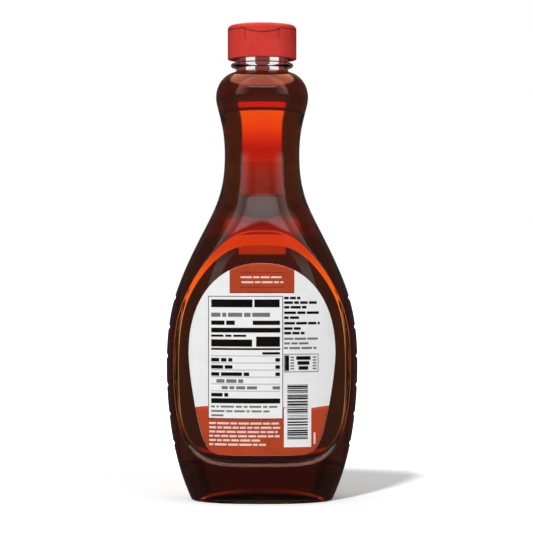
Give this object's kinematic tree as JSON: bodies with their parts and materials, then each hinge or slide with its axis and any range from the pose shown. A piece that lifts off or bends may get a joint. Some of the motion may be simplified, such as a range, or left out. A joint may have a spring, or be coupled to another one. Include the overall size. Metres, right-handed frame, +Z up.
{
  "type": "pancake syrup bottle",
  "caption": "Clear waisted plastic bottle of dark syrup with an arched label panel, finger grooves down its sides and a red flip-top cap.",
  "frame": {"origin": "centre of the base, on the plane that the bottle stands on", "axes": "+Z up along the centre line to the cap; +X across the broad faces; -Y out of the labelled face, over which the cap's hinge lies"},
  "size_m": [0.082, 0.0458, 0.2032],
  "materials": {
    "clear_plastic": "clear, polished",
    "syrup": "clear dark amber liquid",
    "cap_plastic": "satin moulded",
    "label_film": "printed film, satin"
  },
  "bodies": {
    "root": {"bottle": "clear_plastic", "syrup": "syrup", "cap": "cap_plastic", "label": "label_film"}
  },
  "joints": []
}
